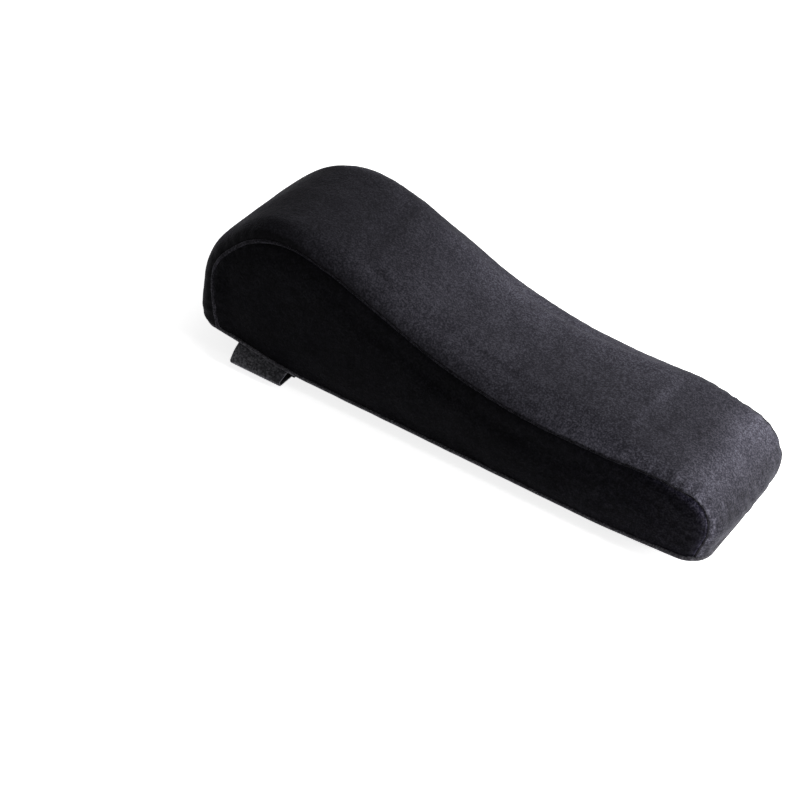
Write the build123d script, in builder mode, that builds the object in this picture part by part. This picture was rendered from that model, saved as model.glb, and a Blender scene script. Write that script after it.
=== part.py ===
from build123d import *
import os
from math import hypot

os.makedirs("parts", exist_ok=True)

# Chair armrest pad: a sloping foam cushion in a sewn cover, with a lengthwise zipper
# and grip dots underneath and two hook-and-loop straps. All sizes are in millimetres.
# +X points to the low hand end, +Y to the left side, +Z up; the straps lie on z = 0.

# Cushion, seen from the side: corner points (x, height above the base) and their radii.
pad_width = 73.0
base_height = 6.0
crown_points = [(-126.98, 41.5), (-97.3, 75.4), (-56.8, 66.2), (16.6, 39.2), (99.3, 41.2), (127.39, 24.5)]
crown_radii = [28.5, 46.0, 69.3, 207.5, 72.2, 14.0]
foot_x = 123.2
tall_foot_rise = 6.5
low_foot_rise = 2.5
flat_x = 78.0
base_radius = 120.0
edge_radius = 11.0

# Cover.
cloth = 2.0
seam_inset = 7.0
piping_width = 1.6
piping_height = 0.6
binding_out = 1.2
binding_height = 3.0
dot_radius = 1.5
dot_height = 0.6
dot_pitch = 9.0
dot_row_pitch = 8.0
dot_row_start = 14.0

# Zipper, lengthwise under the middle of the base.
slit_half_length = 60.0
slit_half_width = 5.5
tape_inner = 1.2
tape_outer = 11.0
tape_low = 1.2
tape_high = 1.8
coil_inner = 0.9
coil_outer = 2.4
coil_low = -0.4
coil_start = -56.5
coil_end = 57.2
slider_x = 52.0
slider_length = 10.0
slider_width = 7.6
pivot_drop = 2.0
pull_length = 15.0
pull_width = 5.0
pull_thickness = 1.0

# Straps.
strap_x = 90.0
strap_width = 26.0
strap_t = 1.0
rear_fold_y = 42.5
front_fold_y = 28.5
elastic_fold_z = 3.5
elastic_bend = 3.0
loop_fold_z = 4.2
loop_bend = 1.6
loop_tip = 2.0
tab_gap = 0.7
tab_run = 9.0
tab_top = base_height + 4.5
tail_short = 12.0
hook_start = 3.0
hook_short = 13.0
hook_width = 25.0
hook_t = 0.8


def outline_block(corners, radii, inset, half_width, edge=0.0):
    """Extrude a filleted outline, offset by inset, and round its long edges above the feet."""
    raised = [(x, z + base_height) for x, z in corners]
    with BuildPart() as block:
        with BuildSketch(Plane.XZ):
            with BuildLine():
                FilletPolyline(*raised, radius=radii, close=True)
            make_face()
            if inset:
                corner_kind = Kind.INTERSECTION if inset > 0 else Kind.ARC
                offset(amount=inset, kind=corner_kind, mode=Mode.REPLACE)
        extrude(amount=half_width, both=True)
        if edge:
            rims = [e for e in block.edges() if abs(abs(e.center().Y) - half_width) < 0.01]
            top = base_height + tall_foot_rise + 2.0
            fillet([e for e in rims if e.center().Z > top or abs(e.center().X) > foot_x - 4], radius=edge)
    return block.part


def cushion_block(drop, inset, half_width, edge=0.0):
    """Extrude the cushion's side view, with its base lowered by drop, offset by inset."""
    corners = [(-foot_x, tall_foot_rise - drop)] + crown_points + [(foot_x, low_foot_rise - drop)]
    corners += [(flat_x, -drop), (-flat_x, -drop)]
    radii = [0.0] + crown_radii + [0.0, base_radius, base_radius]
    return outline_block(corners, radii, inset, half_width, edge)


def above_base_block(inset):
    """Extrude everything above the base curve, starting inset above it."""
    far = 2.0 * foot_x - flat_x
    corners = [(-far, 2.0 * tall_foot_rise), (-flat_x, 0), (flat_x, 0)]
    corners += [(far, 2.0 * low_foot_rise), (far, 100), (-far, 100)]
    return outline_block(corners, [0, base_radius, base_radius, 0, 0, 0], -inset, pad_width)


# Working blocks, from which the sewn cover is cut.
outer = cushion_block(0, 0, pad_width / 2, edge_radius)
piped = cushion_block(0, piping_height, pad_width / 2 + piping_height, edge_radius + piping_height)
inner = cushion_block(0, -cloth, pad_width / 2 - cloth, edge_radius - cloth)
above_base = above_base_block(0)
above_cloth = above_base_block(cloth)
above_binding = above_base_block(binding_height)
side_zone = cushion_block(seam_inset, -seam_inset, pad_width)
seam_outside = cushion_block(seam_inset, piping_width / 2 - seam_inset, pad_width)
seam_inside = cushion_block(seam_inset, -piping_width / 2 - seam_inset, pad_width)

with BuildPart() as left_half:
    Box(400, 100, 400, align=(Align.CENTER, Align.MIN, Align.CENTER))

with BuildPart() as right_half:
    Box(400, 100, 400, align=(Align.CENTER, Align.MAX, Align.CENTER))

with BuildPart() as walls:
    add(outer)
    add(above_cloth, mode=Mode.INTERSECT)
    add(inner, mode=Mode.SUBTRACT)

with BuildPart() as seam_ridge:
    add(seam_outside)
    add(seam_inside, mode=Mode.SUBTRACT)
    add(above_binding, mode=Mode.INTERSECT)
    add(piped, mode=Mode.INTERSECT)
    add(outer, mode=Mode.SUBTRACT)

# The foam, with a shallow groove over the zipper's slider track.
with BuildPart() as foam_core:
    add(inner)
    with BuildSketch(Plane.XY.offset(base_height)):
        Rectangle(2 * slit_half_length, slider_width + 1.4)
    extrude(amount=3.2, mode=Mode.SUBTRACT)
foam_core.part.label = "foam_core"
export_step(foam_core.part, "parts/foam_core.step")

# The top panel runs over the crown and down both ends as one strip of cloth.
with BuildPart() as top_panel:
    add(walls.part)
    add(side_zone, mode=Mode.SUBTRACT)
top_panel.part.label = "top_panel"
export_step(top_panel.part, "parts/top_panel.step")

# The two side panels, and the raised seams that join them to the top panel.
with BuildPart() as left_side_panel:
    add(walls.part)
    add(side_zone, mode=Mode.INTERSECT)
    add(left_half.part, mode=Mode.INTERSECT)
left_side_panel.part.label = "left_side_panel"
export_step(left_side_panel.part, "parts/left_side_panel.step")

with BuildPart() as right_side_panel:
    add(walls.part)
    add(side_zone, mode=Mode.INTERSECT)
    add(right_half.part, mode=Mode.INTERSECT)
right_side_panel.part.label = "right_side_panel"
export_step(right_side_panel.part, "parts/right_side_panel.step")

with BuildPart() as left_piping:
    add(seam_ridge.part)
    add(left_half.part, mode=Mode.INTERSECT)
left_piping.part.label = "left_piping"
export_step(left_piping.part, "parts/left_piping.step")

with BuildPart() as right_piping:
    add(seam_ridge.part)
    add(right_half.part, mode=Mode.INTERSECT)
right_piping.part.label = "right_piping"
export_step(right_piping.part, "parts/right_piping.step")

# The folded binding round the bottom edge.
with BuildPart() as base_binding:
    with BuildSketch(Plane.XY):
        RectangleRounded(2 * (foot_x + binding_out), pad_width + 2 * binding_out, edge_radius + binding_out)
    extrude(amount=40)
    add(above_base, mode=Mode.INTERSECT)
    add(above_binding, mode=Mode.SUBTRACT)
    add(outer, mode=Mode.SUBTRACT)
base_binding.part.label = "base_binding"
export_step(base_binding.part, "parts/base_binding.step")

# The base is two panels that meet along the middle, parted round the zipper.
with BuildPart() as base_band:
    add(outer)
    add(above_cloth, mode=Mode.SUBTRACT)
    with BuildSketch(Plane.XY.offset(base_height)):
        Rectangle(2 * slit_half_length, 2 * slit_half_width)
    extrude(amount=cloth, mode=Mode.SUBTRACT)
    with BuildSketch(Plane.XY.offset(base_height + tape_low)):
        Rectangle(2 * slit_half_length, 2 * tape_outer)
    extrude(amount=cloth - tape_low, mode=Mode.SUBTRACT)

with BuildPart() as left_base_panel:
    add(base_band.part)
    add(left_half.part, mode=Mode.INTERSECT)
left_base_panel.part.label = "left_base_panel"
export_step(left_base_panel.part, "parts/left_base_panel.step")

with BuildPart() as right_base_panel:
    add(base_band.part)
    add(right_half.part, mode=Mode.INTERSECT)
right_base_panel.part.label = "right_base_panel"
export_step(right_base_panel.part, "parts/right_base_panel.step")

# Rubber grip dots in staggered rows, either side of the zipper.
dot_spots = []
for side in (1, -1):
    for row in range(3):
        for column in range(14 + row % 2):
            x = (column - (13 + row % 2) / 2) * dot_pitch
            dot_spots.append((x, side * (dot_row_start + row * dot_row_pitch)))

with BuildPart() as grip_dots:
    with BuildSketch(Plane.XY.offset(base_height - dot_height)):
        with Locations(*dot_spots):
            Circle(dot_radius)
    extrude(amount=dot_height)
grip_dots.part.label = "grip_dots"
export_step(grip_dots.part, "parts/grip_dots.step")

# Zipper: a tape and a coil on each side, with stops at both ends.
for name, side in (("left", 1), ("right", -1)):
    with BuildPart() as zipper_tape:
        with BuildSketch(Plane.XY.offset(base_height + tape_low)):
            with Locations((0, side * (tape_inner + tape_outer) / 2)):
                Rectangle(2 * slit_half_length, tape_outer - tape_inner)
        extrude(amount=tape_high - tape_low)
    zipper_tape.part.label = name + "_zipper_tape"
    export_step(zipper_tape.part, "parts/" + name + "_zipper_tape.step")

    with BuildPart() as zipper_coil:
        with BuildSketch(Plane.XY.offset(base_height + coil_low)):
            with Locations(((coil_start + coil_end) / 2, side * (coil_inner + coil_outer) / 2)):
                Rectangle(coil_end - coil_start, coil_outer - coil_inner)
        extrude(amount=tape_low - coil_low)
    zipper_coil.part.label = name + "_zipper_coil"
    export_step(zipper_coil.part, "parts/" + name + "_zipper_coil.step")

with BuildPart() as zipper_top_stops:
    with BuildSketch(Plane.XY.offset(base_height + coil_low - 0.2)):
        with Locations((coil_end + 0.8, 1.75), (coil_end + 0.8, -1.75)):
            Rectangle(1.6, 1.7)
    extrude(amount=tape_low - coil_low + 0.2)
zipper_top_stops.part.label = "zipper_top_stops"
export_step(zipper_top_stops.part, "parts/zipper_top_stops.step")

with BuildPart() as zipper_bottom_stop:
    with BuildSketch(Plane.XY.offset(base_height + coil_low - 0.2)):
        with Locations((coil_start - 1.25, 0)):
            Rectangle(2.5, 5.2)
    extrude(amount=tape_low - coil_low + 0.2)
zipper_bottom_stop.part.label = "zipper_bottom_stop"
export_step(zipper_bottom_stop.part, "parts/zipper_bottom_stop.step")

# Slider: two plates joined by a post that runs between the coils, with a bridge below.
with BuildPart() as zipper_slider:
    with BuildSketch(Plane.XY.offset(base_height - 1.35)):
        with Locations((slider_x, 0)):
            RectangleRounded(slider_length, slider_width, 2.0)
    extrude(amount=0.8)
    with BuildSketch(Plane.XY.offset(base_height - 0.55)):
        with Locations((slider_x, 3.35), (slider_x, -3.35)):
            Rectangle(5.6, 0.7)
    extrude(amount=1.6)
    with BuildSketch(Plane.XY.offset(base_height - 0.55)):
        with Locations((slider_x + 3.2, 0)):
            Rectangle(2.4, 1.3)
    extrude(amount=2.5)
    with BuildSketch(Plane.XY.offset(base_height + 1.95)):
        with Locations((slider_x, 0)):
            RectangleRounded(slider_length, slider_width, 2.0)
    extrude(amount=0.7)
    with BuildSketch(Plane.XY.offset(base_height - pivot_drop - 1.2)):
        with Locations((slider_x, 0)):
            Rectangle(4.8, 2.2)
    extrude(amount=pivot_drop - 0.15)
    with BuildSketch(Plane.XY.offset(base_height - pivot_drop - 0.65)):
        with Locations((slider_x, 0)):
            Rectangle(2.4, 2.2)
    extrude(amount=1.3, mode=Mode.SUBTRACT)
zipper_slider.part.label = "zipper_slider"
export_step(zipper_slider.part, "parts/zipper_slider.step")

# Pull: a flat tab with a round bar through the slider's bridge.
with BuildPart() as zipper_pull:
    with BuildSketch(Plane.XY.offset(base_height - pivot_drop - pull_thickness / 2)):
        with Locations((slider_x - pull_length / 2, 0)):
            Rectangle(pull_length, pull_width)
        with Locations((slider_x - pull_length, 0)):
            Circle(pull_width / 2)
        with Locations((slider_x - 1.85, 0)):
            Rectangle(2.7, 3.4, mode=Mode.SUBTRACT)
        with Locations((slider_x - pull_length + 1.0, 0)):
            SlotOverall(5.0, 2.0, mode=Mode.SUBTRACT)
    extrude(amount=pull_thickness)
    with Locations((slider_x, 0, base_height - pivot_drop)):
        Cylinder(pull_thickness / 2, pull_width, rotation=(90, 0, 0))
zipper_pull.part.label = "zipper_pull"
export_step(zipper_pull.part, "parts/zipper_pull.step")


def strap_points(side, axis_point, bend, tip_y):
    """List the points round a strap's section: outer bend, tip, inner bend, rounded fold end."""
    fold_y, fold_z = axis_point
    half_t = strap_t / 2
    centre_y = fold_y - bend
    outside = bend + half_t
    inside = bend - half_t
    points = [
        (fold_y + half_t, fold_z),
        (centre_y + outside * 0.70711, fold_z - outside * 0.70711),
        (centre_y, fold_z - outside),
        (tip_y, fold_z - outside),
        (tip_y, fold_z - inside),
        (centre_y, fold_z - inside),
        (centre_y + inside * 0.70711, fold_z - inside * 0.70711),
        (fold_y - half_t, fold_z),
        (fold_y, fold_z + half_t),
    ]
    return [(side * y, z) for y, z in points]


def tab_corners(side, axis_point):
    """List the corners of a strap's sewn end, from its fold line up into the base."""
    fold_y, fold_z = axis_point
    run_y = -tab_run
    run_z = tab_top - fold_z
    run = hypot(run_y, run_z)
    along = (run_y / run, run_z / run)
    across = (-along[1] * strap_t / 2, along[0] * strap_t / 2)
    corners = []
    for reach, flip in ((tab_gap, 1), (tab_gap, -1), (run + 3.0, -1), (run + 3.0, 1)):
        y = fold_y + along[0] * reach + across[0] * flip
        z = fold_z + along[1] * reach + across[1] * flip
        corners.append((side * y, z))
    return corners


# Two straps. The rear one leaves the bottom seams, with its elastic on the left. The front
# one is the other way round and is sewn further in, so that it stays out of sight.
for name, start_x, side, fold_y in (
    ("rear", -strap_x - strap_width / 2, 1, rear_fold_y),
    ("front", strap_x - strap_width / 2, -1, front_fold_y),
):
    plane = Plane.YZ.offset(start_x)
    elastic_axis = (fold_y, elastic_fold_z)
    loop_axis = (fold_y, loop_fold_z)
    elastic_tip = fold_y - tail_short
    hook_end = fold_y - hook_short

    with BuildPart() as elastic_sewn_end:
        with BuildSketch(plane):
            with BuildLine():
                Polyline(*tab_corners(side, elastic_axis), close=True)
            make_face()
        extrude(amount=strap_width)
        add(outer, mode=Mode.SUBTRACT)
        add(base_binding.part, mode=Mode.SUBTRACT)
    elastic_sewn_end.part.label = name + "_elastic_sewn_end"
    export_step(elastic_sewn_end.part, "parts/" + name + "_elastic_sewn_end.step")

    with BuildPart() as elastic_strap:
        with BuildSketch(plane):
            with BuildLine():
                p = strap_points(side, elastic_axis, elastic_bend, -elastic_tip)
                ThreePointArc(p[0], p[1], p[2])
                Polyline(*p[2:6])
                ThreePointArc(p[5], p[6], p[7])
                ThreePointArc(p[7], p[8], p[0])
            make_face()
        extrude(amount=strap_width)
    elastic_strap.part.label = name + "_elastic_strap"
    export_step(elastic_strap.part, "parts/" + name + "_elastic_strap.step")

    with BuildPart() as hook_patch:
        with BuildSketch(Plane.XY.offset(strap_t)):
            with Locations((start_x + strap_width / 2, -side * (hook_start + hook_end) / 2)):
                RectangleRounded(hook_width, hook_end - hook_start, 1.5)
        extrude(amount=hook_t)
    hook_patch.part.label = name + "_hook_patch"
    export_step(hook_patch.part, "parts/" + name + "_hook_patch.step")

    with BuildPart() as loop_sewn_end:
        with BuildSketch(plane):
            with BuildLine():
                Polyline(*tab_corners(-side, loop_axis), close=True)
            make_face()
        extrude(amount=strap_width)
        add(outer, mode=Mode.SUBTRACT)
        add(base_binding.part, mode=Mode.SUBTRACT)
    loop_sewn_end.part.label = name + "_loop_sewn_end"
    export_step(loop_sewn_end.part, "parts/" + name + "_loop_sewn_end.step")

    with BuildPart() as loop_tape:
        with BuildSketch(plane):
            with BuildLine():
                p = strap_points(-side, loop_axis, loop_bend, loop_tip)
                ThreePointArc(p[0], p[1], p[2])
                Polyline(*p[2:6])
                ThreePointArc(p[5], p[6], p[7])
                ThreePointArc(p[7], p[8], p[0])
            make_face()
        extrude(amount=strap_width)
    loop_tape.part.label = name + "_loop_tape"
    export_step(loop_tape.part, "parts/" + name + "_loop_tape.step")
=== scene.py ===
import math

import bmesh
import bpy
import numpy as np
from mathutils import Matrix, Vector, kdtree, noise


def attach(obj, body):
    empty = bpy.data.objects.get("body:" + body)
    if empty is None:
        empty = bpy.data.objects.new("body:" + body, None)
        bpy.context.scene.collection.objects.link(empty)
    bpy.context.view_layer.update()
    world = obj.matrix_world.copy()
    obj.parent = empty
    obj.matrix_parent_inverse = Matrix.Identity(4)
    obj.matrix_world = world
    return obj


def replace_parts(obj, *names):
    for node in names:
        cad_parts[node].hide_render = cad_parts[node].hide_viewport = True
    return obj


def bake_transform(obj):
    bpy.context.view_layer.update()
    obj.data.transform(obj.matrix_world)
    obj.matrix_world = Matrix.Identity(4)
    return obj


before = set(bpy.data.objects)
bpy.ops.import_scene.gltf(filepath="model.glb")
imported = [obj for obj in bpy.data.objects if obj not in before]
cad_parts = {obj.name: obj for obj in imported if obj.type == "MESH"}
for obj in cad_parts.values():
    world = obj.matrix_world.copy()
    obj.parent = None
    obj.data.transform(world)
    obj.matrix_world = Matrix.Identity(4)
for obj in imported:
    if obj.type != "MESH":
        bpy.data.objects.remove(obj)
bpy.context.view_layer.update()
MM = 0.001

# -------- design sizes, in mm, as the CAD has them
BASE_Z = 6.0
WIDTH = 73.0
CROWN = [(-126.98, 41.5), (-97.3, 75.4), (-56.8, 66.2), (16.6, 39.2), (99.3, 41.2), (127.39, 24.5)]
CROWN_RADII = [28.5, 46.0, 69.3, 207.5, 72.2, 14.0]
FOOT_X = 123.2
TALL_RISE = 6.5
LOW_RISE = 2.5
FLAT_X = 78.0
BASE_RADIUS = 120.0
EDGE_R = 11.0
SEAM_INSET = 7.0
SLIT_X = 60.0
SLIT_Y = 5.5
STRAP_X = 90.0
STRAP_W = 26.0
FOLD_Y = {"rear": 42.5, "front": 28.5}
SEAM_GAP = {"rear": 5.7, "front": 3.4}
ELASTIC_FOLD_Z = 3.5
LOOP_FOLD_Z = 4.2
TAIL_SHORT = 12.0
DOT_ROWS = (14.0, 22.0, 30.0)
DOT_PITCH = 9.0
DOT_R = 1.5
DOT_H = 0.6
COIL_X = (-56.5, 57.2)

# -------- sizes of the visual model only, in mm
CLOTH_THICK = 1.1
TAPE_THICK = 0.5
TAPE_Y = (1.25, 10.9)
FLOOR_HALF = 4000
STRAP_THICK = {"elastic": 0.82, "loop": 0.86}
FOAM_GAP = 4.2
SIDE_PUFF = 0.9
CROWN_PUFF = 0.4
PIPING_HALF = (0.92, 0.66)
BINDING_HALF = (0.95, 0.85)
STITCH_R = 0.2
STITCH_LEN = 2.1
STITCH_PITCH = 2.8
COIL_PITCH = 1.3
COIL_R = 0.24
HOOK_PITCH = 1.2
# Height, lean and half width of a hook, from its foot to its tip.
HOOK_RINGS = ((1.3, 0.0, 0.20), (1.62, 0.02, 0.15), (1.76, 0.16, 0.13), (1.68, 0.34, 0.09))
PLATE_HALF_X = 12.5
PLATE_R = 1.5
PLATE_STEPS = 5

# How finely the cover is meshed: rows up each end wall and along the top, columns round each rounding and across.
ROWS_END = 22
ROWS_TOP = 104
FILLET_COLS = 6
FLAT_COLS = 28
END_TALL = 62.0
END_LOW = 34.0
SEAM_POINTS = 700
PIPING_POINTS = 420
HEM_POINTS = 640
BASE_COLS = 26
TAPE_ROWS, TAPE_COLS = 121, 14
DOT_SIDES = 14
# Radius, as a share of the dot's, and height from the base of each ring of a grip dot.
DOT_RINGS = ((1.0, 0.35), (1.0, -0.1), (0.86, -0.42), (0.55, -0.56))


# -------- small geometry helpers
def rounded_line(points, radii, step=0.5):
    """Points along an open line whose inner corners are rounded."""
    pts = np.array(points, float)
    out = [pts[0]]
    for i in range(1, len(pts) - 1):
        a, b = pts[i - 1] - pts[i], pts[i + 1] - pts[i]
        a, b = a / np.linalg.norm(a), b / np.linalg.norm(b)
        half = math.acos(max(-1.0, min(1.0, float(a @ b)))) / 2
        r = radii[i - 1]
        centre = pts[i] + (a + b) / np.linalg.norm(a + b) * r / math.sin(half)
        v1 = (pts[i] + a * r / math.tan(half) - centre) / r
        v2 = (pts[i] + b * r / math.tan(half) - centre) / r
        turn = math.acos(max(-1.0, min(1.0, float(v1 @ v2))))
        n = max(3, int(r * turn / step))
        for k in range(n + 1):
            f = k / n
            w = (math.sin((1 - f) * turn) * v1 + math.sin(f * turn) * v2) / math.sin(turn)
            out.append(centre + r * w)
    out.append(pts[-1])
    return np.array(out)


def lengths(line):
    """Distance along a line of points, at each point."""
    return np.r_[0, np.cumsum(np.linalg.norm(np.diff(line, axis=0), axis=1))]


def along(line, at):
    """Points at the given distances along a line."""
    d = lengths(line)
    return np.column_stack([np.interp(at, d, line[:, k]) for k in range(line.shape[1])])


def smooth_curve(points, n):
    """n points, evenly spaced, on a Catmull-Rom curve through the given points."""
    p = np.array(points, float)
    p = np.vstack([2 * p[0] - p[1], p, 2 * p[-1] - p[-2]])
    out = []
    for i in range(1, len(p) - 2):
        for f in np.linspace(0, 1, 24, endpoint=False):
            out.append(0.5 * ((2 * p[i]) + (p[i + 1] - p[i - 1]) * f
                              + (2 * p[i - 1] - 5 * p[i] + 4 * p[i + 1] - p[i + 2]) * f ** 2
                              + (3 * p[i] - p[i - 1] - 3 * p[i + 1] + p[i + 2]) * f ** 3))
    out.append(p[-2])
    out = np.array(out)
    return along(out, np.linspace(0, lengths(out)[-1], n))


def make_mesh(name, verts, faces, material=None):
    """A mesh object from points in mm, shaded smooth."""
    me = bpy.data.meshes.new(name)
    me.from_pydata([tuple(float(c) * MM for c in v) for v in verts], [],
                   [tuple(int(i) for i in f) for f in faces])
    me.validate()
    me.update()
    me.polygons.foreach_set("use_smooth", [True] * len(me.polygons))
    ob = bpy.data.objects.new(name, me)
    bpy.context.scene.collection.objects.link(ob)
    if material:
        me.materials.append(material)
    return ob


def grid_faces(rows, cols, start=0, wrap_rows=False, wrap_cols=False):
    """Quads of a rows by cols grid of points."""
    out = []
    for i in range(rows if wrap_rows else rows - 1):
        for j in range(cols if wrap_cols else cols - 1):
            this, other = start + i * cols, start + (i + 1) % rows * cols
            step = (j + 1) % cols
            out.append((this + j, this + step, other + step, other + j))
    return out


def sweep(path, section, ups, closed=False):
    """Verts and faces of a section, or one section per point, swept along a path.

    ups is the section's second axis at each point.
    """
    path, ups = np.array(path, float), np.array(ups, float)
    n = len(path)
    sections = section if isinstance(section[0][0], (list, tuple, np.ndarray)) else [section] * n
    verts = []
    for i in range(n):
        before = path[i - 1] if (closed or i > 0) else path[i]
        after = path[(i + 1) % n] if (closed or i < n - 1) else path[i]
        t = after - before
        t /= np.linalg.norm(t)
        up = ups[i] - t * (ups[i] @ t)
        up /= np.linalg.norm(up)
        side = np.cross(t, up)
        for a, b in sections[i]:
            verts.append(path[i] + side * a + up * b)
    m = len(verts) // n
    faces = grid_faces(n, m, wrap_rows=closed, wrap_cols=True)
    if not closed:
        faces.append(tuple(range(m))[::-1])
        faces.append(tuple((n - 1) * m + k for k in range(m)))
    return np.array(verts), faces


def oval(a, b, n=10):
    """An oval section of half sizes a and b."""
    return [(a * math.cos(2 * math.pi * k / n), b * math.sin(2 * math.pi * k / n)) for k in range(n)]


def thicken(ob, thickness, offset=-1.0):
    """Gives a sheet its thickness, in mm. An offset of -1 puts it on the back, 1 on the front."""
    solid = ob.modifiers.new("thickness", "SOLIDIFY")
    solid.thickness = thickness * MM
    solid.offset = offset


# -------- materials
def nodes_of(name):
    """A new material, its node tree, its shader and its texture coordinates."""
    m = bpy.data.materials.new(name)
    m.use_nodes = True
    nt = m.node_tree
    bsdf = next(n for n in nt.nodes if n.type == "BSDF_PRINCIPLED")
    coord = nt.nodes.new("ShaderNodeTexCoord")
    return m, nt, bsdf, coord


def noise_node(nt, coord, scale, detail=3.0, rough=0.55, distort=0.0, stretch=None):
    """Noise over the object, with scale in features per metre, and stretched along the axes if asked."""
    n = nt.nodes.new("ShaderNodeTexNoise")
    n.inputs["Scale"].default_value = scale
    n.inputs["Detail"].default_value = detail
    n.inputs["Roughness"].default_value = rough
    n.inputs["Distortion"].default_value = distort
    if stretch:
        m = nt.nodes.new("ShaderNodeMapping")
        m.inputs["Scale"].default_value = stretch
        nt.links.new(coord.outputs["Object"], m.inputs["Vector"])
        nt.links.new(m.outputs["Vector"], n.inputs["Vector"])
    else:
        nt.links.new(coord.outputs["Object"], n.inputs["Vector"])
    return n


def math_node(nt, op, a, b=0.0, clamp=False):
    """The result of a sum on two numbers or sockets."""
    n = nt.nodes.new("ShaderNodeMath")
    n.operation = op
    n.use_clamp = clamp
    for k, v in enumerate((a, b)):
        if isinstance(v, (int, float)):
            n.inputs[k].default_value = v
        else:
            nt.links.new(v, n.inputs[k])
    return n.outputs[0]


def product(nt, first, *rest):
    """All the given numbers or sockets multiplied together."""
    for other in rest:
        first = math_node(nt, "MULTIPLY", first, other)
    return first


def mixed(nt, *parts):
    """The sum of (socket, weight) parts."""
    total = product(nt, *parts[0])
    for part in parts[1:]:
        total = math_node(nt, "ADD", total, product(nt, *part))
    return total


def ramp_node(nt, fac, stops):
    """A colour ramp over fac, from (position, colour) stops."""
    r = nt.nodes.new("ShaderNodeValToRGB")
    while len(r.color_ramp.elements) < len(stops):
        r.color_ramp.elements.new(0.5)
    for e, (pos, col) in zip(r.color_ramp.elements, stops):
        e.position = pos
        e.color = (*col, 1.0) if len(col) == 3 else col
    nt.links.new(fac, r.inputs["Fac"])
    return r.outputs["Color"]


def levels_node(nt, fac, steps, top=2.0):
    """A level over fac, from (position, level) steps. Levels go up to top."""
    return math_node(nt, "MULTIPLY", ramp_node(nt, fac, [(p, (v / top,) * 3) for p, v in steps]), top)


def split_node(nt, vector):
    """The X, Y and Z of a vector socket."""
    n = nt.nodes.new("ShaderNodeSeparateXYZ")
    nt.links.new(vector, n.inputs["Vector"])
    return n.outputs["X"], n.outputs["Y"], n.outputs["Z"]


def range_node(nt, value, lo, hi, from_lo=0.3, from_hi=0.7):
    """Goes from lo to hi, and no further, as the value goes from from_lo to from_hi."""
    n = nt.nodes.new("ShaderNodeMapRange")
    n.inputs["From Min"].default_value = from_lo
    n.inputs["From Max"].default_value = from_hi
    n.inputs["To Min"].default_value = lo
    n.inputs["To Max"].default_value = hi
    nt.links.new(value, n.inputs["Value"])
    return n.outputs["Result"]


def bump_node(nt, height, distance, strength=1.0, normal=None):
    """A bumped normal, on top of another if one is given."""
    n = nt.nodes.new("ShaderNodeBump")
    n.inputs["Distance"].default_value = distance
    n.inputs["Strength"].default_value = strength
    nt.links.new(height, n.inputs["Height"])
    if normal:
        nt.links.new(normal, n.inputs["Normal"])
    return n.outputs["Normal"]


def painted_light_and_streaks(nt, coord, position, facing):
    """Painted light and shade on the top's pile, as a list of sockets: a painted pool of light growing along the
    length with a painted highlight band over the nose, painted shade and light across the width, painted light on
    the near rounding towards the low end, painted pucker shadows at the near low corner, painted shade near the
    hem and on the far rounding, and streaks down the nose face.
    """
    x, y, z = position
    facing_x, facing_y = facing
    streak = noise_node(nt, coord, 520.0, 3.0, 0.6, 0.0, (1.0, 1.0, 0.16)).outputs["Fac"]
    streak = product(nt, range_node(nt, streak, -0.45, 0.45), range_node(nt, facing_x, 0.0, 1.0, 0.55, 0.9))
    # Painted light on the near rounding, growing towards the low end.
    near_side_painted_light = product(nt, range_node(nt, facing_y, 1.0, 0.0, -0.75, -0.12),
                        range_node(nt, x, -0.05, 1.25, 0.018, 0.075))
    tufts = noise_node(nt, coord, 420.0, 3.0, 0.6, 0.6, (1.0, 1.0, 0.45)).outputs["Fac"]
    # Painted shadows of puckers on the near rounding at the low corner, in ragged tufts.
    painted_pucker_shade = product(nt, range_node(nt, facing_y, 1.0, 0.0, -0.62, -0.2),
                      range_node(nt, x, 0.0, 0.75, 0.085, 0.112), range_node(nt, tufts, 1.0, 0.0, 0.36, 0.62))
    # Painted shade and light across the width: darker on the near side, lighter on the far side, over the middle
    # of the length.
    across = levels_node(nt, range_node(nt, y, 0.0, 1.0, -0.036, 0.036),
                         [(0.08, 0.72), (0.33, 0.70), (0.50, 0.76), (0.67, 1.0), (0.83, 1.38)])
    middle = product(nt, range_node(nt, x, 0.3, 1.0, -0.05, -0.01), range_node(nt, x, 1.0, 0.35, 0.05, 0.085))
    across = product(nt, math_node(nt, "SUBTRACT", across, 1.0), middle)
    # A painted pool of light growing along the length, with a painted highlight band where the top rolls over the
    # nose.
    lengthwise = levels_node(nt, range_node(nt, x, 0.0, 1.0, -0.13, 0.13),
                             [(0.10, 0.60), (0.33, 0.94), (0.56, 1.92), (0.76, 1.94), (0.885, 1.18),
                              (0.935, 2.0), (0.965, 1.24), (1.0, 0.84)])
    # A painted highlight where the surface turns over the nose.
    painted_nose_highlight = levels_node(nt, facing_x, [(0.12, 1.0), (0.62, 1.9), (0.93, 1.2)])
    # The last levels paint shade near the hem and on the far rounding, and add the nose face's streaks.
    return [math_node(nt, "ADD", near_side_painted_light, 1.0), math_node(nt, "ADD", across, 1.0),
            range_node(nt, painted_pucker_shade, 1.0, 0.42, 0.0, 0.75), range_node(nt, z, 0.62, 1.0, 0.008, 0.018),
            range_node(nt, facing_y, 1.0, 0.45, 0.12, 0.6), math_node(nt, "ADD", streak, 1.0), lengthwise,
            painted_nose_highlight]


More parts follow.
